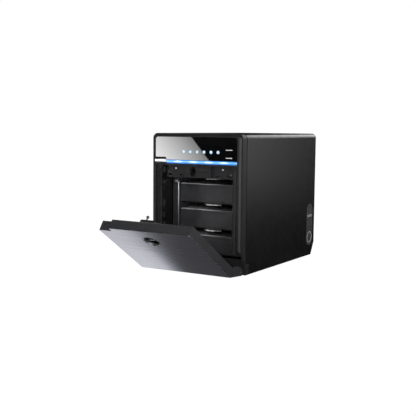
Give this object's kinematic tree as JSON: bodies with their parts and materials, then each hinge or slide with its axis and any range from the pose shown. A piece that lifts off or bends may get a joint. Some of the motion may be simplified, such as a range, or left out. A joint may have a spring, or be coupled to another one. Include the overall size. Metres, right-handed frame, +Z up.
{
  "type": "desktop drive enclosure",
  "caption": "Upright desktop storage enclosure with glossy control strip, blue light bar and drop-down front door over a stack of drives.",
  "frame": {"origin": "on the plane of the foot bottoms, at the middle of the overall box with the door at rest", "axes": "+Z up, -Y out of the front, +X to the right seen from the front"},
  "size_m": [0.127, 0.3204, 0.1705],
  "materials": {
    "cover": "satin black",
    "moulding": "fine satin grain",
    "gloss_panel": "mirror gloss",
    "light_guide": "frosted, lit blue",
    "led_lens": "frosted, lit pale blue",
    "key": "satin",
    "door_face": "brushed, anodised",
    "hardware": "zinc plated",
    "cage": "satin",
    "drive_case": "cast, satin",
    "board": "solder mask",
    "port_metal": "plated",
    "dark_plastic": "moulded",
    "foot_rubber": "matte"
  },
  "bodies": {
    "enclosure": {"backplane_board": "board", "base_tray": "cage", "bridge_board": "board", "cage_screw_1": "hardware", "cage_screw_2": "hardware", "cage_screw_3": "hardware", "cage_screw_4": "hardware", "control_board": "board", "control_panel": "gloss_panel", "dc_jack": "dark_plastic", "drive_cage": "cage", "esata_port": "port_metal", "fan_frame": "dark_plastic", "fan_grille": "hardware", "fan_screw_1": "hardware", "fan_screw_2": "hardware", "fan_screw_3": "hardware", "fan_screw_4": "hardware", "foot_1": "foot_rubber", "foot_2": "foot_rubber", "foot_3": "foot_rubber", "foot_4": "foot_rubber", "front_bezel": "moulding", "hinge_pin_left": "hardware", "hinge_pin_right": "hardware", "latch_catch": "moulding", "light_bar": "light_guide", "outer_shell": "cover", "rear_panel": "cage", "sata_connector_1": "dark_plastic", "sata_connector_2": "dark_plastic", "sata_connector_3": "dark_plastic", "sata_connector_4": "dark_plastic", "side_badge": "gloss_panel", "status_led_1": "led_lens", "status_led_2": "led_lens", "status_led_3": "led_lens", "status_led_4": "led_lens", "status_led_5": "led_lens", "status_led_6": "led_lens", "usb_port": "port_metal"},
    "door": {"door_frame": "moulding", "door_skin": "door_face", "finger_ring": "port_metal", "door_liner": "moulding", "latch_housing": "moulding"},
    "door_latch_slide": {"door_latch": "hardware"},
    "power_key": {"power_button": "key"},
    "fan_wheel": {"fan_rotor": "dark_plastic"},
    "drive_unit_1": {"drive_1": "drive_case", "drive_handle_1": "port_metal"},
    "drive_unit_2": {"drive_2": "drive_case", "drive_handle_2": "port_metal"},
    "drive_unit_3": {"drive_3": "drive_case", "drive_handle_3": "port_metal"},
    "drive_unit_4": {"drive_4": "drive_case", "drive_handle_4": "port_metal"}
  },
  "joints": [
    {"name": "door_hinge", "type": "hinge", "parent": "enclosure", "child": "door", "pos_m": [0, -0.04741, 0.0083], "axis": [1, 0, 0], "range_deg": [-56, 12]},
    {"name": "latch_slide", "type": "slide", "parent": "door", "child": "door_latch_slide", "axis": [0, -0.829, 0.5592], "range_m": [-0.0022, 0], "stiffness_N_per_m": 200},
    {"name": "power_press", "type": "slide", "parent": "enclosure", "child": "power_key", "axis": [0, 1, 0], "range_m": [0, 0.0011], "stiffness_N_per_m": 800},
    {"name": "fan_spin", "type": "hinge", "parent": "enclosure", "child": "fan_wheel", "pos_m": [0, 0.15219, 0.107], "axis": [0, 1, 0], "continuous": true},
    {"name": "drive_slide_1", "type": "slide", "parent": "enclosure", "child": "drive_unit_1", "axis": [0, -1, 0], "range_m": [0, 0.0155]},
    {"name": "drive_slide_2", "type": "slide", "parent": "enclosure", "child": "drive_unit_2", "axis": [0, -1, 0], "range_m": [0, 0.024]},
    {"name": "drive_slide_3", "type": "slide", "parent": "enclosure", "child": "drive_unit_3", "axis": [0, -1, 0], "range_m": [0, 0.024]},
    {"name": "drive_slide_4", "type": "slide", "parent": "enclosure", "child": "drive_unit_4", "axis": [0, -1, 0], "range_m": [0, 0.024]}
  ]
}
